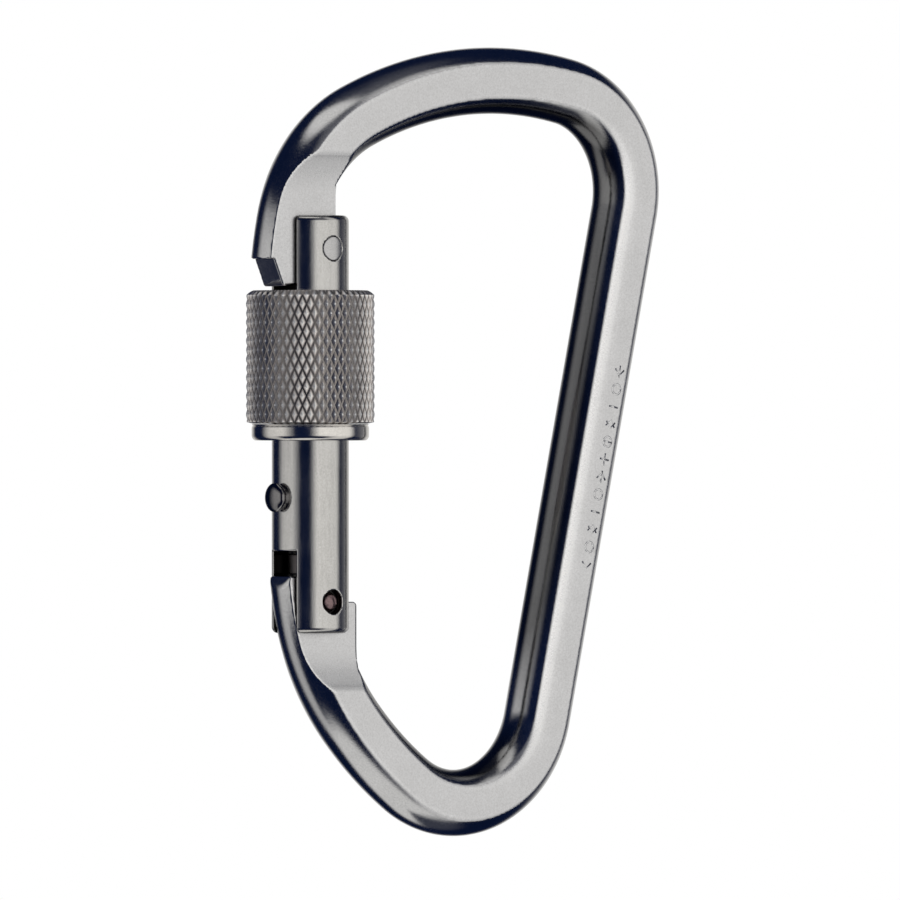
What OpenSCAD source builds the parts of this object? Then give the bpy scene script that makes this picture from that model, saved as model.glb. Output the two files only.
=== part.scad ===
// Screw-lock carabiner: a forged steel ring, a sprung pin-latch gate and a knurled locking sleeve.
// Lengths are in millimetres. +Z runs along the length towards the wide end, X goes across
// the ring from the gate to the spine, and Y is the thickness.

/* [Ring] */
// Diameter of the ring's round rod
rod_d = 9.6; // [9:0.1:10.2]
// Thickness of the ring across its two pressed flats
flat_t = 8.3; // [7.6:0.1:8.8]
// Thickness of the nose and of the tang, where they enter the gate's slots
blade_t = 4.8; // [4:0.1:5]
// Radius of the ramps down to the nose and the tang
ramp_r = 13.3; // [10:0.1:16]
// Radius of the nose, below its bend
nose_r = 60; // [56:0.5:64]
// Radius of the bend above the nose
nose_bend_r = 21.5; // [21:0.1:22]
// Radius of the long top arch
top_r = 60.5; // [60:0.1:61]
// Radius of the bend between the top arch and the spine
shoulder_r = 14.7; // [14.5:0.1:15]
// Straight length of the spine
spine_len = 75; // [74.5:0.1:75.5]
// Angle that the spine leans away from the gate
spine_lean = 12.4; // [12:0.1:12.8]
// Radius of the bottom bend
heel_r = 15.6; // [15.4:0.1:15.8]
// Radius of the bend below the tang
tang_bend_r = 35.4; // [35:0.1:35.8]

/* [Gate] */
// Distance of the gate's axis from the middle of the width
gate_offset = 26.7; // [26.5:0.1:26.9]
// Diameter of the gate's bar
gate_d = 11.1; // [10.9:0.1:11.2]
// Height of the gate's top end
gate_top = 32.6; // [32:0.1:33]
// Height of the gate's bottom end
gate_bottom = -27.5; // [-28:0.1:-27]
// Rounding of the gate's two ends
gate_round = 0.8; // [0.4:0.1:1]
// Width of the gate's two slots
slot_w = 5.5; // [5.3:0.1:5.8]
// Height of the hinge
hinge_z = -23; // [-23.2:0.1:-22.8]
// Height of the latch pin
latch_z = 27.8; // [27.5:0.1:28]
// Diameter of the latch pin
latch_d = 3.5; // [3:0.1:3.8]
// Height of the stop pin
stop_z = -8; // [-8.3:0.1:-7.9]

/* [Sleeve] */
// Diameter over the knurl
sleeve_d = 18.5; // [17.5:0.1:19]
// Height of the sleeve's top end when it is locked
sleeve_top = 21.8; // [21.6:0.1:21.9]
// Height of the sleeve's lower end when it is locked
sleeve_bottom = 2.6; // [2.4:0.1:2.8]
// Diameter of the plain collar under the sleeve
collar_d = 16.9; // [15:0.1:17.3]
// Height of the collar's lower end when it is locked
collar_bottom = 0.2; // [0.2:0.1:0.6]
// Pitch of the right-hand locking thread
thread_pitch = 1.5; // [1.5:0.1:1.8]

/* [Spring] */
// Diameter over the spring's coils
spring_d = 5.8; // [5.4:0.1:6]
// Diameter of the spring's wire
spring_wire = 0.7; // [0.5:0.05:0.8]
// Number of coils
spring_coils = 9; // [6:1:11]

/* [Hidden] */
$fn = 64;

rod_r = rod_d / 2;
gate_r = gate_d / 2;
gate_x = -gate_offset;
past = 1;
running = 0.05;

// Centre of the shoulder bend. The ring is laid out from it with the spine upright, then leaned.
SHOULDER_AT = [gate_x + 43.2, 36.5];
// Directions from one bend's centre to where it meets the next, as whole-number triangles, so that
// the bends touch exactly
EAST = [1, 0];
NORTH = [0, 1];
TOP_TO_BEND = [-3, 4] / 5;
WEST = [-1, 0];
NOSE_END = [-12, -5] / 13;
HEEL_TO_RUN = [-5, -12] / 13;
RUN_TO_TANG = [-3, -4] / 5;
TANG_BEND_END = [-12, -5] / 13;
TANG_END = [-1, 0];
heel_run_r = heel_r + 39;
tang_r = tang_bend_r + 26;
REACH = 130;

top_c = (shoulder_r - top_r) * NORTH;
nose_bend_c = top_c + (top_r - nose_bend_r) * TOP_TO_BEND;
nose_c = nose_bend_c + (nose_bend_r - nose_r) * WEST;
heel_c = [shoulder_r - heel_r, -spine_len];
heel_run_c = heel_c + (heel_r - heel_run_r) * HEEL_TO_RUN;
tang_bend_c = heel_run_c + (heel_run_r - tang_bend_r) * RUN_TO_TANG;
tang_c = tang_bend_c + (tang_bend_r - tang_r) * TANG_BEND_END;
// each bend of the rod: its centre, its radius, and the directions it runs between
BENDS = [[[0, 0], shoulder_r, EAST, NORTH],
         [top_c, top_r, NORTH, TOP_TO_BEND],
         [nose_bend_c, nose_bend_r, TOP_TO_BEND, WEST],
         [nose_c, nose_r, WEST, NOSE_END],
         [heel_c, heel_r, HEEL_TO_RUN, EAST],
         [heel_run_c, heel_run_r, RUN_TO_TANG, HEEL_TO_RUN],
         [tang_bend_c, tang_bend_r, TANG_BEND_END, RUN_TO_TANG],
         [tang_c, tang_r, TANG_END, TANG_BEND_END]];

// the nose
nose_inner = gate_x + 2.9;
nose_pad_back = gate_x - 4.5;
nose_pad_top = 36;
nose_pad_lean = 1.5;
nose_ramp_z = 35;
nose_tip_gap = 0.2;
end_cut_reach = 12;
end_cut_drop = 3;
ledge_z = 26.3;
ledge_x = gate_x - 8.3;
bevel_foot = [gate_x - 6.4, 21.8];
notch_r = latch_d / 2 + 0.2;

// the tang
tang_inner = gate_x + 6.6;
tang_pad = [-31, hinge_z];
tang_ramp_z = -29.1;
tang_top = hinge_z + 3.7;
tang_outer = gate_x - 5.4;
tang_bevel = [0.65, 1.7];
finger_round = 0.6;
cam_at = [gate_x + 3, hinge_z + 2];
cam_r = 1.8;

// the gate
fork_floor = 20.5;
tang_slot_top = -15.7;
bore_r = 3.3;
bore_top = 4;
drill_angle = 59;

// the hinge rivet
rivet_r = 1.5;
rivet_half = 3.9;
rivet_end_r = 1.15;
rivet_end = 4.6;
rivet_dome_r = 2.4;
rivet_recess_r = 1.75;

// the stop pin
stop_shank_r = 1.2;
stop_shank_from = bore_r + 0.25;
stop_neck_r = 1.5;
stop_head_r = 2.1;
stop_head_from = 6.1;
stop_head_to = 6.5;
stop_dome_r = 4;

// the plunger
plunger_r = bore_r - 0.1;
plunger_foot = hinge_z + 3.92;
plunger_head = 3;
plunger_stem_r = 1.7;
plunger_stem = 5;

// the sleeve, and the thread between it and the gate
sleeve_r = sleeve_d / 2;
rim_chamfer = 0.7;
sleeve_bore_r = gate_r + 0.1;
mouth_r = 7.3;
mouth_depth = 3.5;
collar_round = 0.7;
collar_top_round = 0.2;
thread_from = 3.6;
thread_to = 16;
thread_depth = 0.45;

// ---- shared pieces ----

// Stands a shape drawn in the ring's own plane up into the part's frame
module upright() {
    rotate([90, 0, 0]) children();
}

// A shape turned about the gate's axis
module on_gate_axis() {
    translate([gate_x, 0, 0]) children();
}

// A plain round pin or hole along Y
module across(x, z, r, half) {
    translate([x, 0, z])
        rotate([90, 0, 0])
            cylinder(r = r, h = 2 * half, center = true);
}

// Outline of a turned bar with rounded ends, to be spun about its axis
module turned_outline(r, low, high, round_low, round_high) {
    translate([0, low])
        square([r - round_low, high - low - past]);
    translate([0, low + past])
        square([r - round_high, high - low - past]);
    translate([0, low + round_low])
        square([r, high - low - round_low - round_high]);
    translate([r - round_low, low + round_low])
        circle(r = round_low);
    translate([r - round_high, high - round_high])
        circle(r = round_high);
}

// ---- frame ----

// One bend: a whole turn of rod, kept between two directions
module rod_bend(c, r, from, to) {
    intersection() {
        translate(c)
            rotate_extrude($fn = 128)
                translate([r, 0])
                    circle(r = rod_r);
        linear_extrude(2 * rod_d, center = true)
            polygon([c, c + REACH * from, c + REACH * to]);
    }
}

// The round rod bent into the ring, with its two faces pressed flat
module bent_rod() {
    intersection() {
        translate(SHOULDER_AT)
            rotate(-spine_lean) {
                for (b = BENDS)
                    rod_bend(b[0], b[1], b[2], b[3]);
                translate([shoulder_r, 0, 0])
                    rotate([90, 0, 0])
                        cylinder(r = rod_r, h = spine_len);
            }
        cube([200, 200, flat_t], center = true);
    }
}

// The flat inner side of the nose, wider than the rod
module nose_pad() {
    linear_extrude(blade_t, center = true)
        polygon([[nose_pad_back, sleeve_top - past], [nose_inner, sleeve_top - past],
                 [nose_inner, nose_pad_top], [nose_pad_back + nose_pad_lean, nose_pad_top]]);
}

// The tang's inner finger, and the hump that lifts the plunger
module tang_pads() {
    linear_extrude(blade_t, center = true) {
        translate([gate_x, tang_pad[0]])
            square([tang_inner - gate_x, tang_pad[1] - tang_pad[0] - finger_round]);
        translate([gate_x, tang_pad[0]])
            square([tang_inner - gate_x - finger_round, tang_pad[1] - tang_pad[0]]);
        translate([tang_inner - finger_round, tang_pad[1] - finger_round])
            circle(r = finger_round);
        translate(cam_at)
            circle(r = cam_r);
        translate([gate_x, tang_pad[1] - past])
            square([cam_at.x + cam_r - gate_x, cam_at.y - tang_pad[1] + past]);
    }
}

// Thins both faces to the blade's thickness beyond a ramp, towards = 1 for up and -1 for down
module blade_cut(ramp_z, towards) {
    wide = 24;
    run = 20;
    for (side = [-1, 1])
        mirror([0, 0, side < 0 ? 1 : 0]) {
            translate([gate_x - wide / 2, towards > 0 ? ramp_z : ramp_z - run, blade_t / 2])
                cube([wide, run, rod_d]);
            translate([gate_x - wide / 2, ramp_z, blade_t / 2 + ramp_r])
                rotate([0, 90, 0])
                    cylinder(r = ramp_r, h = wide, $fn = 128);
        }
}

// Clears the nose's end for the gate and the sleeve, which swing about the hinge
module nose_end_cut() {
    sweep_r = norm([sleeve_r - rim_chamfer, sleeve_top - hinge_z]) + nose_tip_gap;
    intersection() {
        translate([gate_x, hinge_z, 0])
            cylinder(r = sweep_r, h = 2 * rod_d, center = true, $fn = 128);
        translate([gate_x - end_cut_reach, 0, -rod_d])
            cube([2 * end_cut_reach, sleeve_top + 2, 2 * rod_d]);
    }
    linear_extrude(2 * rod_d, center = true)
        polygon([[gate_x - end_cut_reach, ledge_z], [ledge_x, ledge_z], bevel_foot,
                 [bevel_foot.x, bevel_foot.y - end_cut_drop],
                 [gate_x - end_cut_reach, bevel_foot.y - end_cut_drop]]);
}

// The notch that takes the latch pin, open towards the inside
module latch_notch() {
    translate([gate_x, latch_z, 0])
        cylinder(r = notch_r, h = rod_d, center = true);
    translate([gate_x, latch_z - notch_r, -rod_d / 2])
        cube([rod_d, 2 * notch_r, rod_d]);
}

// Cuts the tang off level, with a bevel on its outer corner
module tang_end_cut() {
    wide = 16;
    high = 24;
    far = tang_outer - 3 * tang_bevel.x;
    translate([tang_outer - wide / 4, tang_top, -rod_d])
        cube([wide, high, 2 * rod_d]);
    linear_extrude(2 * rod_d, center = true)
        polygon([[tang_outer, tang_top], [far, tang_top], [far, tang_top - 2 * tang_bevel.y],
                 [tang_outer - tang_bevel.x, tang_top - tang_bevel.y]]);
}

module frame() {
    color("silver")
        upright()
            difference() {
                union() {
                    bent_rod();
                    nose_pad();
                    tang_pads();
                }
                blade_cut(nose_ramp_z, -1);
                blade_cut(tang_ramp_z, 1);
                nose_end_cut();
                latch_notch();
                tang_end_cut();
                translate([gate_x, hinge_z, 0])
                    cylinder(r = rivet_r + running, h = rod_d, center = true);
            }
}

// ---- gate ----

module thread_groove(z) {
    translate([0, 0, z])
        rotate_extrude()
            polygon([[gate_r - thread_depth, 0], [gate_r + thread_depth, -2 * thread_depth],
                     [gate_r + thread_depth, 2 * thread_depth]]);
}

module gate_bar() {
    color("gainsboro")
        difference() {
            on_gate_axis()
                difference() {
                    rotate_extrude()
                        turned_outline(gate_r, gate_bottom, gate_top, gate_round, gate_round);
                    // grooves of the thread
                    for (z = [thread_from : thread_pitch : thread_to])
                        thread_groove(z);
                    // spring bore with its drill point
                    translate([0, 0, gate_bottom - past])
                        cylinder(r = bore_r, h = bore_top - gate_bottom + past);
                    translate([0, 0, bore_top])
                        cylinder(r1 = bore_r, r2 = 0, h = bore_r / tan(drill_angle));
                    // fork for the nose
                    translate([-gate_d, -slot_w / 2, fork_floor])
                        cube([2 * gate_d, slot_w, gate_top]);
                    // slot for the tang
                    translate([-gate_d, -slot_w / 2, gate_bottom - past])
                        cube([2 * gate_d, slot_w, tang_slot_top - gate_bottom + past]);
                    // seat of the stop pin
                    translate([-gate_d, 0, stop_z])
                        rotate([0, 90, 0])
                            cylinder(r = stop_shank_r, h = gate_d);
                }
            across(gate_x, latch_z, latch_d / 2, gate_d);
            across(gate_x, hinge_z, rivet_r, gate_d);
            for (side = [-1, 1])
                translate([gate_x, side * (rivet_half + gate_r / 2), hinge_z])
                    rotate([90, 0, 0])
                        cylinder(r = rivet_recess_r, h = gate_r, center = true);
        }
}

module latch_pin() {
    color("lightgray")
        intersection() {
            across(gate_x, latch_z, latch_d / 2, gate_d);
            on_gate_axis()
                cylinder(r = gate_r, h = gate_top);
        }
}

module hinge_rivet() {
    color("rosybrown") {
        across(gate_x, hinge_z, rivet_r, rivet_half);
        intersection() {
            across(gate_x, hinge_z, rivet_end_r, rivet_end + past);
            for (side = [-1, 1])
                translate([gate_x, side * (rivet_end - rivet_dome_r), hinge_z])
                    sphere(r = rivet_dome_r);
        }
    }
}

module stop_pin() {
    color("dimgray")
        translate([gate_x, 0, stop_z])
            rotate([0, -90, 0]) {
                translate([0, 0, stop_shank_from])
                    cylinder(r = stop_shank_r, h = stop_head_to - stop_shank_from);
                translate([0, 0, gate_r])
                    cylinder(r = stop_neck_r, h = stop_head_to - gate_r);
                translate([0, 0, stop_head_from])
                    cylinder(r = stop_head_r, h = stop_head_to - stop_head_from);
                intersection() {
                    translate([0, 0, stop_head_to])
                        cylinder(r = stop_head_r, h = stop_dome_r);
                    translate([0, 0, stop_head_to - sqrt(pow(stop_dome_r, 2) - pow(stop_head_r, 2))])
                        sphere(r = stop_dome_r);
                }
            }
}

// ---- spring ----

module gate_spring() {
    sides = 6;
    steps_per_coil = 16;
    steps = spring_coils * steps_per_coil;
    wire_r = spring_wire / 2;
    coil_r = spring_d / 2 - wire_r;
    low = plunger_foot + plunger_head + wire_r + running;
    high = bore_top - wire_r;
    points = [for (i = [0 : steps], k = [0 : sides - 1])
        let (a = 360 * i / steps_per_coil, b = 360 * k / sides, r = coil_r + wire_r * cos(b))
        [r * cos(a), r * sin(a), low + (high - low) * i / steps + wire_r * sin(b)]];
    walls = [for (i = [0 : steps - 1], k = [0 : sides - 1])
        let (a = sides * i + k, b = sides * i + (k + 1) % sides)
        [a, a + sides, b + sides, b]];
    color("darkgray")
        on_gate_axis()
            polyhedron(points, concat(walls, [[for (k = [0 : sides - 1]) k]],
                       [[for (k = [sides - 1 : -1 : 0]) sides * steps + k]]), convexity = 10);
}

module spring_plunger() {
    color("goldenrod")
        on_gate_axis() {
            translate([0, 0, plunger_foot])
                cylinder(r = plunger_r, h = plunger_head);
            translate([0, 0, plunger_foot + plunger_head])
                cylinder(r = plunger_stem_r, h = plunger_stem);
        }
}

// ---- sleeve ----

module lock_sleeve() {
    color("tan")
        on_gate_axis() {
            rotate_extrude()
                polygon([[sleeve_bore_r, sleeve_bottom],
                         [sleeve_r - rim_chamfer, sleeve_bottom],
                         [sleeve_r, sleeve_bottom + rim_chamfer],
                         [sleeve_r, sleeve_top - rim_chamfer],
                         [sleeve_r - rim_chamfer, sleeve_top],
                         [mouth_r, sleeve_top],
                         [mouth_r, sleeve_top - mouth_depth],
                         [sleeve_bore_r, sleeve_top - mouth_depth]]);
        }
}

module sleeve_collar() {
    color("silver")
        on_gate_axis()
            difference() {
                rotate_extrude()
                    turned_outline(collar_d / 2, collar_bottom, sleeve_bottom, collar_round,
                                   collar_top_round);
                translate([0, 0, collar_bottom - past])
                    cylinder(r = sleeve_bore_r, h = sleeve_bottom - collar_bottom + 2 * past);
            }
}

frame();
gate_bar();
hinge_rivet();
latch_pin();
stop_pin();
gate_spring();
spring_plunger();
lock_sleeve();
sleeve_collar();
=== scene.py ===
"""A screw-lock carabiner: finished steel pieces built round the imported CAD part."""

import math

import bpy
import numpy as np
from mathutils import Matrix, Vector, noise


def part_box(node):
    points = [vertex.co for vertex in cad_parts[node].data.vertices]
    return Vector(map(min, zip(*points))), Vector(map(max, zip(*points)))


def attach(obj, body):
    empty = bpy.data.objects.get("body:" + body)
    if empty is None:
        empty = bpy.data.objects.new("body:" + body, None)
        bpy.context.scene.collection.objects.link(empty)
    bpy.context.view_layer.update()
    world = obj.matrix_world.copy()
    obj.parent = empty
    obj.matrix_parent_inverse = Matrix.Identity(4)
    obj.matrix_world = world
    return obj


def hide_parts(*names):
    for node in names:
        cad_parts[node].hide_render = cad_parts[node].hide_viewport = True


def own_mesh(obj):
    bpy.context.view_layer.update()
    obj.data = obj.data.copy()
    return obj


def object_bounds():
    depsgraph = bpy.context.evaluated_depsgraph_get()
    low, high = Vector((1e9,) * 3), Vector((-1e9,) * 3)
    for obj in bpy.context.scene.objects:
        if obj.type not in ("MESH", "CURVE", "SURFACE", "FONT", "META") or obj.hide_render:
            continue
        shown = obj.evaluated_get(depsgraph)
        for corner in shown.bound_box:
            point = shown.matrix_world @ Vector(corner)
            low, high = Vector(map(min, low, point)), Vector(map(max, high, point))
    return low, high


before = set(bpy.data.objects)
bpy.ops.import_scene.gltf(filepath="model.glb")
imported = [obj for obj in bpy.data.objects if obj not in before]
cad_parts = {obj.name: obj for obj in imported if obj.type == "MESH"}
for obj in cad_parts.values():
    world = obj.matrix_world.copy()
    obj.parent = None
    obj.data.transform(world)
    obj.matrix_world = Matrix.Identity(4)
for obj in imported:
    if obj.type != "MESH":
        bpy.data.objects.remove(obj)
cad_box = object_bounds()

# The meshes are worked out in millimetres and stored in metres.
MM = 0.001


# ---- sizes ----

def node_box(node):
    """Lowest and highest corner of a CAD node, in millimetres."""
    low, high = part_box(node)
    return np.array(low) / MM, np.array(high) / MM


gate_low, gate_high = node_box("gate_bar")
gate_x = (gate_low[0] + gate_high[0]) / 2
gate_r = (gate_high[0] - gate_low[0]) / 2
rivet_low, rivet_high = node_box("hinge_rivet")
hinge_z = (rivet_low[2] + rivet_high[2]) / 2
rivet_r = (rivet_high[0] - rivet_low[0]) / 2
latch_low, latch_high = node_box("latch_pin")
latch_z = (latch_low[2] + latch_high[2]) / 2
latch_r = (latch_high[0] - latch_low[0]) / 2
stop_low, stop_high = node_box("stop_pin")
stop_z = (stop_low[2] + stop_high[2]) / 2
stop_r = (stop_high[2] - stop_low[2]) / 2
sleeve_low, sleeve_high = node_box("lock_sleeve")
sleeve_r = (sleeve_high[0] - sleeve_low[0]) / 2
collar_low, collar_high = node_box("sleeve_collar")
collar_r = (collar_high[0] - collar_low[0]) / 2
frame_low, frame_high = node_box("frame")
plunger_low, plunger_high = node_box("spring_plunger")
spring_low, spring_high = node_box("gate_spring")

# The ring is laid out with its spine upright round the shoulder bend's centre, then leaned.
ROD_R = 4.8
FLAT_HALF = 4.15
BLADE_HALF = 2.4
CRISP_EDGE = 0.16
SOFT_EDGE = ROD_R - FLAT_HALF - 0.02
RAMP_R = 13.3
RING_STEP = 0.32
SHOULDER_AT = (gate_x + 43.2, 36.5)
SHOULDER_R = 14.7
SPINE_LENGTH = 75
SPINE_LEAN = math.radians(12.4)


def direction(across, up):
    """A unit vector, from two whole-number sides of a triangle."""
    return np.array([across, up]) / math.hypot(across, up)


def ring_bends():
    """Each bend of the rod: its centre, its radius, and the two directions it runs between."""
    east, north, west = direction(1, 0), direction(0, 1), direction(-1, 0)
    bends = [(np.zeros(2), SHOULDER_R, east, north)]
    for radius, end in ((60.5, direction(-3, 4)), (21.5, west), (60, direction(-12, -5))):
        centre, last_radius, _, start = bends[-1]
        bends.append((centre + (last_radius - radius) * start, radius, start, end))
    heel_r = 15.6
    bends.append((np.array([SHOULDER_R - heel_r, -SPINE_LENGTH]), heel_r, direction(-5, -12), east))
    for radius, start in ((54.6, direction(-3, -4)), (35.4, direction(-12, -5)), (61.4, west)):
        centre, last_radius, end, _ = bends[-1]
        bends.append((centre + (last_radius - radius) * end, radius, start, end))
    return bends


BENDS = ring_bends()

# The nose and the tang, where the ring enters the gate
NOSE_RAMP_Z = 35
NOSE_PAD = [(gate_x - 4.5, 20.8), (gate_x + 2.9, 20.8), (gate_x + 2.9, 36.9), (gate_x + 1.5, 38.2),
            (gate_x - 3, 36)]
NOSE_LEDGE = (gate_x - 8.3, 26.3)
NOSE_FOOT = (gate_x - 6.4, 21.8)
NOSE_CUT = [(gate_x - 12, NOSE_LEDGE[1]), NOSE_LEDGE, NOSE_FOOT,
            (NOSE_FOOT[0], 18.8), (gate_x - 12, 18.8)]
RIM_CHAMFER = 0.7
CLEARANCE = 0.2
NOTCH_R = latch_r + CLEARANCE
SWEEP_R = math.hypot(sleeve_r - RIM_CHAMFER, sleeve_high[2] - hinge_z) + CLEARANCE
TANG_RAMP_Z = -29.1
TANG_TOP = hinge_z + 3.7
TANG_OUTER = gate_x - 5.4
TANG_BEVEL = [(TANG_OUTER, TANG_TOP), (TANG_OUTER - 2, TANG_TOP),
              (TANG_OUTER - 2, TANG_TOP - 3.4), (TANG_OUTER - 0.65, TANG_TOP - 1.7)]
FINGER = (gate_x, -33.3, gate_x + 6.6, hinge_z)
CAM_AT = (gate_x + 3, hinge_z + 2)
CAM_R = 1.8

# The gate's slots, bore and thread
GATE_STEP = 0.2
SLOT_HALF = 2.75
FORK_FLOOR = 20.5
TANG_SLOT_TOP = -15.7
BORE_R = 3.3
BORE_TOP = 4
DRILL_ANGLE = math.radians(59)
THREAD_PITCH = 1.5
THREAD_SPAN = (3.6, 16)
THREAD_DEPTH = 0.45
RIVET_RECESS_R = 1.75
RIVET_HALF = 3.9


# ---- solid shapes as distance fields, negative inside ----

def both(a, b, r):
    """Where a and b overlap, with the edge between them rounded to r."""
    return np.minimum(np.maximum(a, b), -r) + np.hypot(np.maximum(a + r, 0), np.maximum(b + r, 0))


def without(a, b, r):
    """a with b cut away, leaving an edge rounded to r."""
    return both(a, -b, r)


def in_polygon(x, z, corners):
    """A closed outline, as the distance to its nearest side."""
    nearest = np.full(np.broadcast(x, z).shape, np.inf)
    inside = np.zeros(nearest.shape, bool)
    for (ax, az), (bx, bz) in zip(corners, corners[1:] + corners[:1]):
        ex, ez = bx - ax, bz - az
        t = np.clip(((x - ax) * ex + (z - az) * ez) / (ex * ex + ez * ez), 0, 1)
        nearest = np.minimum(nearest, np.hypot(x - ax - t * ex, z - az - t * ez))
        if ez:
            inside ^= ((az > z) != (bz > z)) & (x < ax + (z - az) * ex / ez)
    return np.where(inside, -nearest, nearest)


def in_box(x, z, box, r=0.0):
    """A rectangle with its corners rounded to r."""
    x0, z0, x1, z1 = box
    dx = np.abs(x - (x0 + x1) / 2) - (x1 - x0) / 2 + r
    dz = np.abs(z - (z0 + z1) / 2) - (z1 - z0) / 2 + r
    return np.hypot(np.maximum(dx, 0), np.maximum(dz, 0)) + np.minimum(np.maximum(dx, dz), 0) - r


def in_circle(x, z, at, r):
    """A round hole or boss that runs along Y."""
    return np.hypot(x - at[0], z - at[1]) - r


def spine_frame(x, z):
    """Across and up from the shoulder bend's centre, with the spine upright."""
    px, pz = x - SHOULDER_AT[0], z - SHOULDER_AT[1]
    u = math.cos(SPINE_LEAN) * px - math.sin(SPINE_LEAN) * pz
    v = math.sin(SPINE_LEAN) * px + math.cos(SPINE_LEAN) * pz
    return u, v


def from_centreline(x, z):
    """Distance in the ring's plane from the line that the rod follows."""
    u, v = spine_frame(x, z)
    far = 40.0
    nearest = np.where((v <= 0) & (v >= -SPINE_LENGTH), np.abs(u - SHOULDER_R), far)
    for centre, radius, start, end in BENDS:
        du, dv = u - centre[0], v - centre[1]
        within = (start[0] * dv - start[1] * du >= 0) & (du * end[1] - dv * end[0] >= 0)
        nearest = np.where(within, np.minimum(nearest, np.abs(np.hypot(du, dv) - radius)), nearest)
    return nearest


def half_thickness(x, z):
    """Half the ring's thickness: its pressed flats, ramping down to the two blades."""
    crease = 0.25
    spine_side = gate_x + 12
    past_ramp = np.clip(np.where(z > 0, z - NOSE_RAMP_Z, TANG_RAMP_Z - z), 0, 0.8 * RAMP_R)
    ramp = BLADE_HALF + RAMP_R - np.sqrt(RAMP_R**2 - past_ramp**2)
    ramp = np.where(x > spine_side, 2 * FLAT_HALF, ramp)
    blend = np.maximum(crease - np.abs(ramp - FLAT_HALF), 0)
    return np.minimum(ramp, FLAT_HALF) - blend**2 / (4 * crease)


def edge_rounding(x, z):
    """How round the edge of the flats is: more on the inner side of the spine and its two bends."""
    u, v = spine_frame(x, z)
    heel_at, heel_r = BENDS[4][:2]
    from_heel = heel_r - np.hypot(u - heel_at[0], v + SPINE_LENGTH)
    from_spine = SHOULDER_R - np.hypot(u, np.maximum(v, 0))
    inner = np.where(v < -SPINE_LENGTH, from_heel, from_spine) > 0
    return CRISP_EDGE + (SOFT_EDGE - CRISP_EDGE) * np.clip((u - 4) / 7, 0, 1) * inner


def ring_solid(x, y, z):
    """The forged ring, with its nose, its tang and the cuts in them."""
    cut_edge = 0.22
    rod = np.hypot(from_centreline(x, z), y) - ROD_R
    pads = np.minimum(in_polygon(x, z, NOSE_PAD), in_box(x, z, FINGER, 0.6))
    pads = np.minimum(pads, in_circle(x, z, CAM_AT, CAM_R))
    pads = np.minimum(pads, in_box(x, z, (gate_x, hinge_z - 1, CAM_AT[0] + CAM_R, CAM_AT[1])))
    body = both(np.minimum(rod, pads), np.abs(y) - half_thickness(x, z), edge_rounding(x, z))
    cuts = np.maximum(in_circle(x, z, (gate_x, hinge_z), SWEEP_R), -z)
    cuts = np.minimum(cuts, in_polygon(x, z, NOSE_CUT))
    cuts = np.minimum(cuts, in_circle(x, z, (gate_x, latch_z), NOTCH_R))
    cuts = np.minimum(cuts, in_box(x, z, (gate_x, latch_z - NOTCH_R, gate_x + 9, latch_z + NOTCH_R)))
    cuts = np.minimum(cuts, in_box(x, z, (gate_x - 10, TANG_TOP, gate_x + 6.6, TANG_TOP + 24)))
    cuts = np.minimum(cuts, in_polygon(x, z, TANG_BEVEL))
    cuts = np.minimum(cuts, in_circle(x, z, (gate_x, hinge_z), rivet_r + 0.05))
    return without(body, cuts, cut_edge)


def gate_solid(x, y, z):
    """The gate's bar: round, slotted for the nose and the tang, bored for its spring."""
    end_round, slot_edge, hole_edge, fine_edge = 0.9, 0.3, 0.12, 0.08
    x = x - gate_x
    r = np.hypot(x, y)
    middle, half = (gate_low[2] + gate_high[2]) / 2, (gate_high[2] - gate_low[2]) / 2
    bar = both(r - gate_r, np.abs(z - middle) - half, end_round)
    turn = z / THREAD_PITCH - np.arctan2(y, x) / (2 * math.pi)
    groove = np.clip(1.6 * (1 - 4 * np.abs(turn - np.round(turn))), 0, 1)
    run_in = np.clip(np.minimum(z - THREAD_SPAN[0], THREAD_SPAN[1] - z), 0, 1)
    bar = bar + THREAD_DEPTH * groove * run_in * np.clip(r - BORE_R - 0.8, 0, 1)
    slots = np.minimum(np.maximum(np.abs(y) - SLOT_HALF, FORK_FLOOR - z),
                       np.maximum(np.abs(y) - SLOT_HALF, z - TANG_SLOT_TOP))
    drill_end = (z - BORE_TOP - (BORE_R - r) / math.tan(DRILL_ANGLE)) * math.sin(DRILL_ANGLE)
    bar = without(bar, slots, slot_edge)
    bar = without(bar, np.maximum(r - BORE_R, drill_end), hole_edge)
    bar = without(bar, np.hypot(x, z - latch_z) - latch_r, fine_edge)
    bar = without(bar, np.hypot(x, z - hinge_z) - rivet_r, hole_edge)
    recess = np.maximum(np.hypot(x, z - hinge_z) - RIVET_RECESS_R, RIVET_HALF - np.abs(y))
    bar = without(bar, recess, hole_edge)
    return without(bar, np.maximum(np.hypot(y, z - stop_z) - stop_r / 2, x), hole_edge)


# ---- meshes ----

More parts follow.
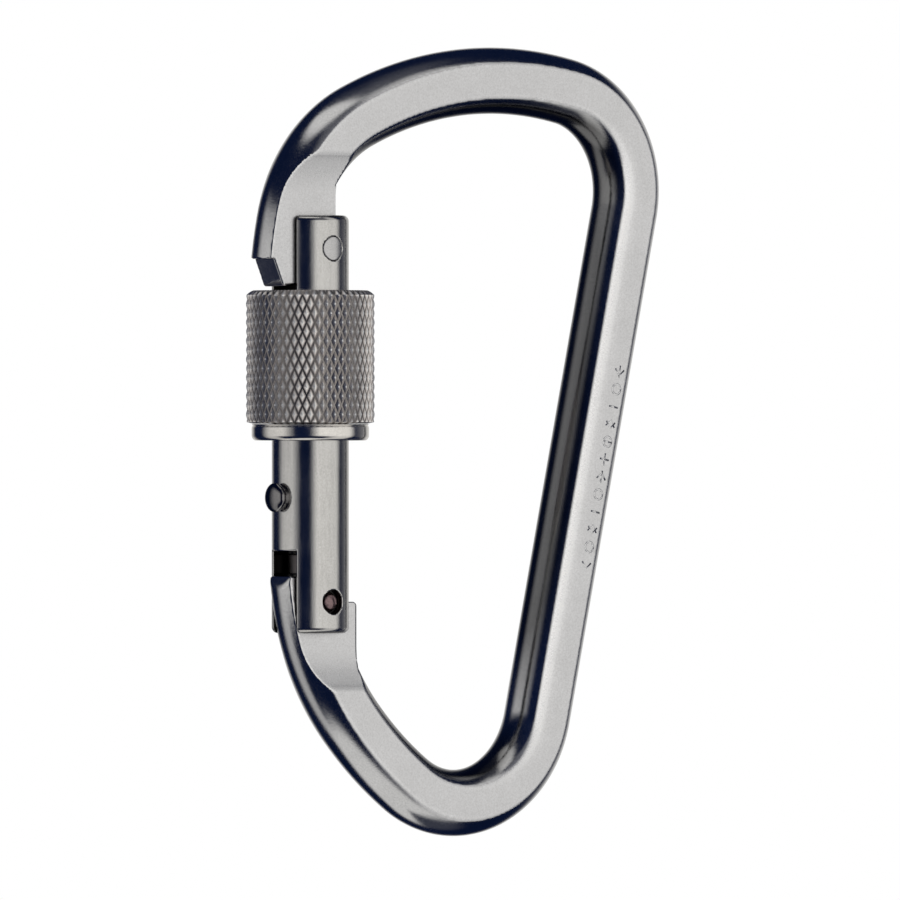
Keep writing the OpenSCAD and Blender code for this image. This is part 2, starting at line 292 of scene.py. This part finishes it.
def surface(solid, low, high, step):
    """Points, quads and normals of the closed surface of a solid, one point per grid cell that it crosses."""
    axes = [np.arange(lo - 2 * step, hi + 3 * step, step) for lo, hi in zip(low, high)]
    value = solid(axes[0][:, None, None], axes[1][None, :, None], axes[2][None, None, :])
    inside = value < 0
    size = np.array(inside.shape) - 1
    corners = [np.array(c) for c in np.ndindex(2, 2, 2)]

    def at_corner(grid, c):
        return grid[c[0]:c[0] + size[0], c[1]:c[1] + size[1], c[2]:c[2] + size[2]]

    filled = sum(at_corner(inside, c).astype(np.int8) for c in corners)
    active = (filled > 0) & (filled < 8)
    cells = np.argwhere(active)
    index = np.full(active.shape, -1)
    index[active] = np.arange(len(cells))
    total, count = np.zeros((len(cells), 3)), np.zeros(len(cells))
    for a in corners:
        for b in corners:
            if (b - a).sum() != 1 or (b < a).any():
                continue
            va, vb = at_corner(value, a)[active], at_corner(value, b)[active]
            crossed = (va < 0) != (vb < 0)
            t = np.where(crossed, va / np.where(crossed, va - vb, 1), 0)
            total += crossed[:, None] * (a + t[:, None] * (b - a))
            count += crossed
    points = np.array([axis[0] for axis in axes]) + (cells + total / count[:, None]) * step
    quads = []
    for axis in range(3):
        u, w = [np.eye(3, dtype=int)[(axis + k) % 3] for k in (1, 2)]
        along = np.eye(3, dtype=int)[axis]
        a = inside[tuple(slice(0, n - k) for n, k in zip(inside.shape, along))]
        b = inside[tuple(slice(k, n) for n, k in zip(inside.shape, along))]
        at = np.argwhere(a != b)
        leaves = a[tuple(at.T)]
        loop = np.stack([index[tuple((at - k).T)] for k in (u + w, w, 0 * u, u)], 1)
        quads.append(np.where(leaves[:, None], loop, loop[:, ::-1]))
    quads = np.concatenate(quads)
    nudge = 0.01
    for _ in range(4):
        slope = np.stack([(solid(*(points + nudge * e).T) - solid(*(points - nudge * e).T)) / (2 * nudge)
                          for e in np.eye(3)], 1)
        steep = np.maximum((slope**2).sum(1, keepdims=True), 0.1)
        points -= np.clip(solid(*points.T)[:, None] * slope / steep, -step / 2, step / 2)
    return points, quads, slope / np.linalg.norm(slope, axis=1, keepdims=True)


def edge_sharpness(solid, points):
    """How sharply the surface turns at each point, per millimetre: above 0 on edges, below 0 in corners."""
    reach = 0.12
    around = sum(solid(*(points + way * reach * e).T) for e in np.eye(3) for way in (-1, 1))
    return (around - 6 * solid(*points.T)) / reach**2


def make_piece(name, body, replaced, material, points, faces, smooth=True, normals=None, tone=None):
    """A named piece that rides on a body, in place of a CAD node where one is given.
    The points are in millimetres. tone scales the steel's colour at each point, with painted shade and
    painted highlight."""
    mesh = bpy.data.meshes.new(name)
    mesh.from_pydata((np.asarray(points) * MM).tolist(), [], [list(map(int, f)) for f in faces])
    mesh.polygons.foreach_set("use_smooth", np.broadcast_to(smooth, len(mesh.polygons)).copy())
    if normals is not None:
        mesh.normals_split_custom_set_from_vertices(normals.tolist())
    if tone is not None:
        mesh.attributes.new("tone", "FLOAT", "POINT").data.foreach_set("value", tone.astype(np.float32))
    mesh.materials.append(material)
    piece = bpy.data.objects.new(name, mesh)
    bpy.context.scene.collection.objects.link(piece)
    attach(piece, body)
    if replaced:
        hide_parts(replaced)
    return piece


def softened(outline, radius, steps=4):
    """A closed outline with each corner eased into a curve that starts a radius away from it."""
    points = []
    outline = np.array(outline, float)
    for before, corner, after in zip(np.roll(outline, 1, 0), outline, np.roll(outline, -1, 0)):
        if corner[0] == 0:
            points.append(corner)
            continue
        reach_in = min(radius, np.linalg.norm(before - corner) / 2.1)
        reach_out = min(radius, np.linalg.norm(after - corner) / 2.1)
        start = corner + (before - corner) / np.linalg.norm(before - corner) * reach_in
        end = corner + (after - corner) / np.linalg.norm(after - corner) * reach_out
        for t in np.linspace(0, 1, steps + 1):
            points.append((1 - t)**2 * start + 2 * t * (1 - t) * corner + t**2 * end)
    return np.array(points)


def turned(outline, around=96):
    """Points and faces of an outline of (radius, height) spun about the height. A radius of 0 is a pole."""
    outline = np.asarray(outline, float)
    closed = outline[:, 0].min() > 0
    angles = np.arange(around) * 2 * math.pi / around
    points, rings = [], []
    for r, h in outline:
        if r == 0:
            rings.append([len(points)] * around)
            points.append((0, 0, h))
        else:
            rings.append(list(range(len(points), len(points) + around)))
            points.extend((r * math.cos(a), r * math.sin(a), h) for a in angles)
    faces = []
    following = rings[1:] + rings[:1] if closed else rings[1:]
    for low, high in zip(rings, following):
        for i in range(around):
            j = (i + 1) % around
            corners = [low[i], low[j], high[j], high[i]]
            face = [c for k, c in enumerate(corners) if c != corners[k - 1]]
            if len(face) > 2:
                faces.append(face)
    return np.array(points), faces


def fine_steps(outline, longest):
    """An open outline with its long sides cut into shorter ones."""
    points = [outline[0]]
    for a, b in zip(outline, outline[1:]):
        parts = max(1, math.ceil(np.linalg.norm(np.subtract(b, a)) / longest))
        points.extend(np.add(a, np.subtract(b, a) * k / parts) for k in range(1, parts + 1))
    return np.array(points)


# ---- materials ----

def add(tree, kind, inputs=(), **settings):
    """A shader node with its settings, and its inputs set from values or linked from sockets."""
    made = tree.nodes.new("ShaderNode" + kind)
    for key, value in settings.items():
        setattr(made, key, value)
    for key, value in dict(inputs).items():
        if isinstance(value, bpy.types.NodeSocket):
            tree.links.new(value, made.inputs[key])
        else:
            made.inputs[key].default_value = value
    return made


def fade(tree, value, start, end, low, high):
    """value from start to end, turned into low to high."""
    made = add(tree, "MapRange", {"Value": value, "From Min": start, "From Max": end,
                                  "To Min": low, "To Max": high})
    return made.outputs["Result"]


def varied(tree, cloud, low, high):
    """A noise's usual range, turned into low to high."""
    return fade(tree, cloud.outputs[0], 0.3, 0.7, low, high)


def maths(tree, operation, a, b=0.0):
    """The sum, product or size of two values."""
    made = add(tree, "Math", {0: a, 1: b}, operation=operation)
    return made.outputs[0]


def steel(name, tint, gloss, satin, grain=0.004, streaks=(1, 1, 1), flats=False, toned=False):
    """A steel with cloudy tone, fine grain and wiped streaks.
    gloss and satin are the roughness of its polished and its dull places. With flats, the dull places
    are the faces that look along Y. With toned, the mesh's tone attribute scales the colour with painted
    shade and painted highlight."""
    material = bpy.data.materials.new(name)
    material.use_nodes = True
    tree = material.node_tree
    shader = tree.nodes["Principled BSDF"]
    shader.inputs["Metallic"].default_value = 1.0
    where = add(tree, "TexCoord").outputs
    clouds = add(tree, "TexNoise", {"Vector": where["Object"], "Scale": 170, "Detail": 5, "Roughness": 0.6})
    stretched = add(tree, "Mapping", {"Vector": where["Object"], "Scale": streaks})
    wiped = add(tree, "TexNoise", {"Vector": stretched.outputs[0], "Scale": 2600, "Detail": 3})
    fine = add(tree, "TexNoise", {"Vector": where["Object"], "Scale": 5200, "Detail": 2})
    tone = varied(tree, clouds, 0.94, 1.05)
    tone = maths(tree, "MULTIPLY", tone, varied(tree, wiped, 0.95, 1.05))
    tone = maths(tree, "MULTIPLY", tone, varied(tree, fine, 0.93, 1.07))
    if toned:
        tone = maths(tree, "MULTIPLY", tone, add(tree, "Attribute", attribute_name="tone").outputs["Fac"])
    colour = add(tree, "VectorMath", {0: tint, "Scale": tone}, operation="SCALE")
    tree.links.new(colour.outputs[0], shader.inputs["Base Color"])
    if flats:
        facing = add(tree, "SeparateXYZ", {0: where["Normal"]}).outputs["Y"]
        flat = fade(tree, maths(tree, "ABSOLUTE", facing), 0.9, 0.99, 0.0, 1.0)
        round_side = varied(tree, clouds, gloss, (gloss * 2 + satin) / 3)
        flat_side = varied(tree, clouds, satin * 0.94, satin * 1.06)
        dull = add(tree, "Mix", {0: flat, 2: round_side, 3: flat_side}).outputs[0]
    else:
        dull = varied(tree, clouds, gloss, satin)
    dull = maths(tree, "ADD", dull, varied(tree, wiped, -0.02, 0.03))
    tree.links.new(dull, shader.inputs["Roughness"])
    height = maths(tree, "ADD", wiped.outputs[0], fine.outputs[0])
    bump = add(tree, "Bump", {"Height": height, "Strength": 1.0, "Distance": grain * MM})
    tree.links.new(bump.outputs[0], shader.inputs["Normal"])
    return material


forged = steel("forged_steel", (0.775, 0.78, 0.795), 0.12, 0.33, grain=0.005, flats=True, toned=True)
gate_steel = steel("gate_steel", (0.61, 0.605, 0.595), 0.13, 0.2, grain=0.005, streaks=(1, 1, 0.12),
                   toned=True)
pin_steel = steel("pin_steel", (0.58, 0.58, 0.59), 0.2, 0.3, streaks=(0.2, 1, 1))
button_steel = steel("button_steel", (0.25, 0.245, 0.25), 0.07, 0.12)
rivet_steel = steel("rivet_steel", (0.3, 0.21, 0.215), 0.22, 0.42, grain=0.02)
spring_steel = steel("spring_steel", (0.13, 0.12, 0.12), 0.3, 0.45)
sleeve_steel = steel("sleeve_steel", (1.0, 0.94, 0.91), 0.26, 0.42, grain=0.008, toned=True)
collar_steel = steel("collar_steel", (0.78, 0.76, 0.73), 0.1, 0.17, streaks=(0.1, 0.1, 1.5))


# ---- the ring ----

def forged_ring():
    """Painted highlight along its edges, and painted shade on the round side that faces the opening and in
    its inside corners.
    """
    painted_inner_shade, round_dull, painted_fillet_highlight, painted_edge_highlight_and_corner_shade = 0.78, 0.2, 0.42, 0.12
    points, quads, normals = surface(ring_solid, frame_low, frame_high, RING_STEP)
    to_middle = SHOULDER_AT[0] / 3 - points[:, 0], -0.35 * points[:, 2]
    inward = (normals[:, 0] * to_middle[0] + normals[:, 2] * to_middle[1]) / np.hypot(*to_middle)
    off_flat = np.clip((0.998 - np.abs(normals[:, 1])) / 0.01, 0, 1)
    # Painted shade on the round side that faces the middle of the ring.
    tone = 1 - painted_inner_shade * np.clip((inward - 0.5) / 0.25, 0, 1)
    # Painted highlight along the softly rounded edges on the inner side of the spine and its bends.
    tone += painted_fillet_highlight * off_flat * (edge_rounding(points[:, 0], points[:, 2]) - CRISP_EDGE)
    tone *= 1 - round_dull * np.clip((0.93 - np.abs(normals[:, 1])) / 0.1, 0, 1)
    # Painted highlight on sharp edges and painted shade in inside corners.
    tone += painted_edge_highlight_and_corner_shade * np.clip(edge_sharpness(ring_solid, points) / 5, -1, 1)
    make_piece("forged_ring", "frame", "frame", forged, points, quads,
               normals=normals, tone=tone)


def raised_marks():
    """A row of plain symbols down the outer half of the spine's front flat."""
    stroke_r, raised, sides, bright = 0.24, 0.06, 10, 1.1
    pitch, across_at, first = 2.6, SHOULDER_R + 0.95, -23.5
    ring = [(0.75 * math.cos(a), 0.75 * math.sin(a)) for a in np.linspace(0, 2 * math.pi, 17)]
    down = [(-0.8, 0.35), (0, -0.6), (0.8, 0.35)]
    up = [(-0.8, -0.35), (0, 0.6), (0.8, -0.35)]
    bar, stem = [(-0.8, 0), (0.8, 0)], [(0, -0.9), (0, 0.9)]
    row = [[down, stem], [ring], [bar], [up, down], [ring, bar], [bar, stem], [up, stem], [ring], [bar],
           [down, up], [ring], [down]]
    turns = np.arange(sides) * 2 * math.pi / sides
    points, faces = [], []
    for place, strokes in enumerate(row):
        for stroke in strokes:
            line = np.array(stroke, float)
            ahead = np.gradient(line, axis=0)
            ahead /= np.linalg.norm(ahead, axis=1, keepdims=True)
            start = len(points)
            for (across, along), (du, dv) in zip(line, ahead):
                for t in turns:
                    u = across_at + across - dv * stroke_r * math.cos(t)
                    v = first - place * pitch + along + du * stroke_r * math.cos(t)
                    x = SHOULDER_AT[0] + math.cos(SPINE_LEAN) * u + math.sin(SPINE_LEAN) * v
                    z = SHOULDER_AT[1] - math.sin(SPINE_LEAN) * u + math.cos(SPINE_LEAN) * v
                    points.append((x, stroke_r * (1 - math.sin(t)) - raised - FLAT_HALF, z))
            last = start + (len(line) - 1) * sides
            faces += [list(range(start + sides - 1, start - 1, -1)), list(range(last, last + sides))]
            for low in range(start, last, sides):
                for k in range(sides):
                    n = (k + 1) % sides
                    faces.append([low + k, low + n, low + sides + n, low + sides + k])
    make_piece("raised_marks", "frame", None, forged, points, faces,
               tone=np.full(len(points), bright))


# ---- the gate ----

def gate_bar():
    """Bright outside, with painted shade making its slots and its bore black."""
    painted_recess_shade, painted_edge_highlight_and_corner_shade = 0.93, 0.1
    points, quads, normals = surface(gate_solid, gate_low, gate_high, GATE_STEP)
    depth = gate_r - np.hypot(points[:, 0] - gate_x, points[:, 1])
    at_end = points[:, 2] > gate_high[2] - 0.1
    # Painted shade: darker the deeper a point lies inside the bar's round surface, except on the top end.
    tone = np.where(at_end, 1, 1 - painted_recess_shade * np.clip((depth - 0.2) / 0.25, 0, 1))
    # Painted highlight on sharp edges and painted shade in inside corners, outside the darkened slots.
    tone += painted_edge_highlight_and_corner_shade * np.clip(edge_sharpness(gate_solid, points) / 5, -1, 1) * (tone > 0.5)
    make_piece("slotted_gate", "gate", "gate_bar", gate_steel, points, quads,
               normals=normals, tone=tone)


def latch_pin():
    """Ground flush with the gate's round surface, with its rim just broken and a fine seam round it."""
    rim, seam = 0.1, 0.05
    shown_r = latch_r - seam
    ends = fine_steps([(0, gate_r), (shown_r - rim, gate_r)], 0.2)
    side = [(shown_r - 0.03, gate_r - 0.03), (shown_r, gate_r - rim), (shown_r, 0)]
    outline = np.concatenate([ends, side])
    mirrored = outline[-2::-1] * (1, -1)
    points, faces = turned(np.concatenate([outline, mirrored])[::-1])
    across, height, along = points.T
    ground = np.where(np.abs(along) > gate_r / 2, gate_r - np.sqrt(gate_r**2 - across**2), 0)
    placed = np.stack([gate_x + across, along - np.sign(along) * ground, latch_z - height], 1)
    make_piece("flush_latch_pin", "gate", "latch_pin", pin_steel, placed, faces)


def hinge_rivet():
    """Peened at both ends, so that its heads are a little lumpy."""
    head_r, head = rivet_r - 0.35, min(rivet_high[1] + 0.5, 5.2)
    outline = [(0, -head), (head_r, -head + 0.3), (head_r + 0.05, -RIVET_HALF), (rivet_r, -RIVET_HALF + 0.05),
               (rivet_r, RIVET_HALF - 0.05), (head_r + 0.05, RIVET_HALF), (head_r, head - 0.3), (0, head)]
    points, faces = turned(fine_steps(softened(outline, 0.25), 0.15), 72)
    across, height, along = points.T
    lumps = np.array([noise.noise(Vector(p) * 1.9) for p in points])
    along = along + np.sign(along) * np.where(np.abs(along) > RIVET_HALF, 0.09 * lumps, 0)
    placed = np.stack([gate_x + across, along, hinge_z - height], 1)
    make_piece("peened_hinge_rivet", "gate", "hinge_rivet", rivet_steel, placed, faces)


def stop_pin():
    """A polished domed head, which the collar comes down to."""
    tip = gate_x - stop_low[0] + 0.1
    shank_r, neck_r, under = stop_r * 0.57, stop_r * 0.62, gate_r + 0.4
    rim = under + 0.55
    dome = [(stop_r * math.cos(a), rim + (tip - rim) * math.sin(a)) for a in np.linspace(0, math.pi / 2, 13)]
    outline = [(0, 3.6), (shank_r, 3.6), (shank_r, gate_r - 0.4), (neck_r, gate_r - 0.4), (neck_r, under),
               (stop_r - 0.25, under), (stop_r - 0.05, under + 0.2), *dome[:-1], (0, tip)]
    points, faces = turned(outline)
    placed = np.stack([gate_x - points[:, 2], points[:, 0], stop_z - points[:, 1]], 1)
    make_piece("stop_button", "gate", "stop_pin", button_steel, placed, faces)


def spring():
    """An open coil with its wire round, standing between the plunger and the end of the bore."""
    wire_r, sides, per_turn, turns = 0.35, 12, 40, 9
    coil_r = (spring_high[0] - spring_low[0]) / 2 - wire_r
    foot, top = spring_low[2] + wire_r, spring_high[2] - wire_r
    rings = []
    for i in range(turns * per_turn + 1):
        a = 2 * math.pi * i / per_turn
        z = foot + (top - foot) * i / (turns * per_turn)
        for k in range(sides):
            b = 2 * math.pi * k / sides
            r = coil_r + wire_r * math.cos(b)
            rings.append((gate_x + r * math.cos(a), r * math.sin(a), z + wire_r * math.sin(b)))
    faces = [list(range(sides))]
    for i in range(turns * per_turn):
        for k in range(sides):
            n = (k + 1) % sides
            faces.append([i * sides + k, (i + 1) * sides + k, (i + 1) * sides + n, i * sides + n])
    faces.append(list(range(len(rings) - 1, len(rings) - 1 - sides, -1)))
    piece = make_piece("return_spring", "gate", "gate_spring", spring_steel, rings, faces)
    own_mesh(piece)


def plunger():
    """A head that rubs on the tang, with a stem inside the spring."""
    head_r = (plunger_high[0] - plunger_low[0]) / 2
    head_top, stem_r = plunger_low[2] + 3, 1.7
    outline = softened([(0, plunger_low[2]), (head_r, plunger_low[2]), (head_r, head_top), (stem_r, head_top),
                        (stem_r, plunger_high[2]), (0, plunger_high[2])], 0.3)
    points, faces = turned(outline, 64)
    make_piece("turned_plunger", "plunger", "spring_plunger", spring_steel,
               points + (gate_x, 0, 0), faces)


# ---- the sleeve ----

KNURL_STARTS = 48
KNURL_STEPS = 12
KNURL_PITCH = 2.64
KNURL_DEPTH = 0.3
MOUTH_R = 7.3
MOUTH_DEPTH = 3.5
SLEEVE_BORE_R = gate_r + 0.1
PART_LINE = 0.03


def knurled_sleeve():
    """A diamond knurl rolled in by crossing helical grooves, between two chamfered rims."""
    low, high = sleeve_low[2] + PART_LINE, sleeve_high[2]
    around = KNURL_STARTS * KNURL_STEPS
    rows = round((high - low) / KNURL_PITCH * KNURL_STEPS)
    i, j = np.meshgrid(np.arange(rows + 1), np.arange(around), indexing="ij")
    z = low + (high - low) * i / rows

    def knurl(row, column):
        """0 on a diamond's top and 1 in a groove."""
        both_ways = [np.abs((column + way * row) / KNURL_STEPS % 1 - 0.5) * 2 for way in (-1, 1)]
        return np.clip((np.maximum(*both_ways) - 0.12) / 0.71, 0, 1)

    rim = sleeve_r - RIM_CHAMFER + np.minimum(3 * (z - low), high - z)
    end_r = sleeve_r - RIM_CHAMFER - KNURL_DEPTH
    radius = np.minimum(sleeve_r, rim) - KNURL_DEPTH * knurl(i, j)
    radius[[0, -1]] = end_r
    inner = softened([(end_r, high), (MOUTH_R, high), (MOUTH_R, high - MOUTH_DEPTH),
                      (SLEEVE_BORE_R, high - MOUTH_DEPTH), (SLEEVE_BORE_R, low), (end_r, low)], 0.15, 3)[4:-4]
    radius = np.concatenate([radius, np.repeat(inner[:, :1], around, 1)])
    z = np.concatenate([z, np.repeat(inner[:, 1:], around, 1)])
    angle = 2 * math.pi * np.arange(around) / around
    points = np.stack([gate_x + radius * np.cos(angle), radius * np.sin(angle), z], 2).reshape(-1, 3)
    faces, smooth = [], []
    last = len(radius)
    groove_mid = knurl(i + 0.5, j + 0.5)
    corner = knurl(i, j)
    for row in range(last):
        upper = (row + 1) % last
        for column in range(around):
            beside = (column + 1) % around
            a, b = row * around + column, row * around + beside
            c, d = upper * around + beside, upper * around + column
            if row >= rows:
                faces.append([a, b, c, d])
                smooth.append(True)
                continue
            rising = (corner[row, column] + corner[upper, beside]) / 2
            falling = (corner[row, beside] + corner[upper, column]) / 2
            middle = groove_mid[row, column]
            if abs(rising - middle) <= abs(falling - middle):
                faces += [[a, b, c], [a, c, d]]
            else:
                faces += [[a, b, d], [b, c, d]]
            smooth += [False, False]
    tone = np.ones(len(points))
    # Painted highlight on the diamonds' tops and painted shade down in the grooves.
    tone[:corner.size] = (1.22 - 0.9 * corner**2).ravel()
    make_piece("knurled_sleeve", "sleeve", "lock_sleeve", sleeve_steel,
               points, faces, smooth=np.array(smooth), tone=tone)


def collar():
    """The plain ring under the knurl, with a fine parting groove and a rounded lower edge."""
    low, high = collar_low[2], collar_high[2] - PART_LINE
    groove, lip = 0.16, 0.22
    outline = softened([(SLEEVE_BORE_R, low), (collar_r - 0.35, low), (collar_r, low + 0.5),
                        (collar_r, high - lip - 0.14), (collar_r - groove, high - lip - 0.08),
                        (collar_r - groove, high - lip + 0.02), (collar_r - 0.04, high - lip + 0.06),
                        (collar_r - 0.04, high), (SLEEVE_BORE_R, high)], 0.3, 3)
    points, faces = turned(outline, 144)
    make_piece("plain_collar", "collar", "sleeve_collar", collar_steel,
               points + (gate_x, 0, 0), faces)


forged_ring()
raised_marks()
gate_bar()
latch_pin()
hinge_rivet()
stop_pin()
spring()
plunger()
knurled_sleeve()
collar()


# ---- studio ----

VIEW_AZIMUTH = math.radians(-38)
BACK = Vector((math.sin(VIEW_AZIMUTH), -math.cos(VIEW_AZIMUTH), 0))
RIGHT = Vector((math.cos(VIEW_AZIMUTH), math.sin(VIEW_AZIMUTH), 0))


def studio_world():
    """A dark blue room with tall light panels round it, and white where the camera looks past the object."""
    world = bpy.data.worlds.new("studio")
    bpy.context.scene.world = world
    world.use_nodes = True
    tree = world.node_tree
    tree.nodes.clear()
    where = add(tree, "TexCoord").outputs["Generated"]
    turned_room = add(tree, "VectorRotate", {"Vector": where, "Angle": -math.atan2(BACK.y, BACK.x)},
                      rotation_type="Z_AXIS")
    round_room = add(tree, "TexGradient", {"Vector": turned_room.outputs[0]}, gradient_type="RADIAL")
    night, lamp = np.array((0.004, 0.009, 0.034)), np.array((1.02, 1.0, 0.96))
    # Degrees to the right of the camera, and how bright it is there: straight down, below the object,
    # level with it, above it, and straight up.
    nadir = [(-180, 0.05), (-165, 0.8), (70, 0.8), (100, 0.05), (180, 0.05)]
    below = [(-180, 0), (-112, 0), (-98, 0.5), (-78, 0.5), (-66, 0), (30, 0), (60, 0.62), (90, 0.62), (98, 0),
             (180, 0)]
    level = [(-180, 0.7), (-160, 0.6), (-140, 0), (-110, 0), (-90, 0.6), (-55, 0.7), (-30, 0), (0, 0),
             (20, 0.9), (85, 0.8), (100, 0), (130, 0.2), (160, 0.7), (180, 0.7)]
    above = [(-180, 0), (10, 0), (22, 0.12), (55, 0.12), (66, 0.55), (90, 0.55), (98, 0), (180, 0)]
    zenith = [(-180, 0.02), (-128, 0.02), (-112, 0.8), (52, 0.8), (68, 0.1), (180, 0.02)]

    def ramp(stops):
        """The light all round the room in one row of panels."""
        made = add(tree, "ValToRGB", {"Fac": round_room.outputs["Fac"]})
        elements = made.color_ramp.elements
        elements.remove(elements[1])
        for place, (degrees, light) in enumerate(stops):
            stop = elements[0] if place == 0 else elements.new(degrees / 360 + 0.5)
            stop.position = degrees / 360 + 0.5
            stop.color = (*(night * (1 - light) + lamp * light), 1)
        return made.outputs["Color"]

    def between(start, end, lower, upper):
        """One row of panels giving way to the row above, from one height of a direction to another."""
        share = fade(tree, height, start, end, 0, 1)
        return add(tree, "Mix", {0: share, 6: lower, 7: upper}, data_type="RGBA").outputs[2]

    height = add(tree, "SeparateXYZ", {0: where}).outputs["Z"]
    room = between(-0.88, -0.8, ramp(nadir), ramp(below))
    room = between(-0.45, -0.22, room, ramp(level))
    room = between(0.25, 0.45, room, ramp(above))
    room = between(0.86, 0.92, room, ramp(zenith))
    seen = add(tree, "LightPath").outputs["Is Camera Ray"]
    shown = add(tree, "Mix", {0: seen, 6: room, 7: (1, 1, 1, 1)}, data_type="RGBA")
    sky = add(tree, "Background", {"Color": shown.outputs[2], "Strength": 1.0})
    out = add(tree, "OutputWorld")
    tree.links.new(sky.outputs[0], out.inputs["Surface"])


def pale_floor():
    """A round floor under the hanging object, just below the main view."""
    radius, below, sides = 0.24, 0.034, 96
    height = cad_box[0].z - below
    angles = np.arange(sides) * 2 * math.pi / sides
    mesh = bpy.data.meshes.new("floor")
    mesh.from_pydata([(radius * math.cos(a), radius * math.sin(a), height) for a in angles], [],
                     [list(range(sides))])
    material = bpy.data.materials.new("pale_floor")
    material.use_nodes = True
    tree = material.node_tree
    speckle = add(tree, "TexNoise", {"Vector": add(tree, "TexCoord").outputs["Object"], "Scale": 40})
    shader = tree.nodes["Principled BSDF"]
    tree.links.new(varied(tree, speckle, 0.86, 0.9), shader.inputs["Base Color"])
    shader.inputs["Roughness"].default_value = 0.7
    mesh.materials.append(material)
    floor = bpy.data.objects.new("floor", mesh)
    floor.visible_glossy = False
    bpy.context.scene.collection.objects.link(floor)


def softbox(name, at, size, power):
    """A square area light that looks at the object."""
    data = bpy.data.lights.new(name, "AREA")
    data.size = size
    data.energy = power
    light = bpy.data.objects.new(name, data)
    light.location = at
    light.rotation_mode = "QUATERNION"
    light.rotation_quaternion = (-Vector(at)).to_track_quat("-Z", "Y")
    bpy.context.scene.collection.objects.link(light)
    return light


def studio_camera():
    """A long lens level with the object, seeing it from 38 degrees round towards the gate."""
    seen_width, lens, sensor = 0.13005, 1000, 36
    data = bpy.data.cameras.new("camera")
    data.lens = lens
    data.sensor_width = sensor
    data.clip_end = 10
    camera = bpy.data.objects.new("camera", data)
    aim_across, aim_up = -0.00095, -0.00116
    aim = RIGHT * aim_across + Vector((0, 0, aim_up))
    camera.location = aim + BACK * (seen_width * lens / sensor)
    camera.rotation_mode = "QUATERNION"
    camera.rotation_quaternion = (-BACK).to_track_quat("-Z", "Y")
    bpy.context.scene.collection.objects.link(camera)
    bpy.context.scene.camera = camera


bpy.context.scene.view_settings.view_transform = "Standard"
studio_world()
pale_floor()
overhead = softbox("overhead", at=(0, 0, 0.9), size=0.8, power=6)
overhead.visible_glossy = False
studio_camera()
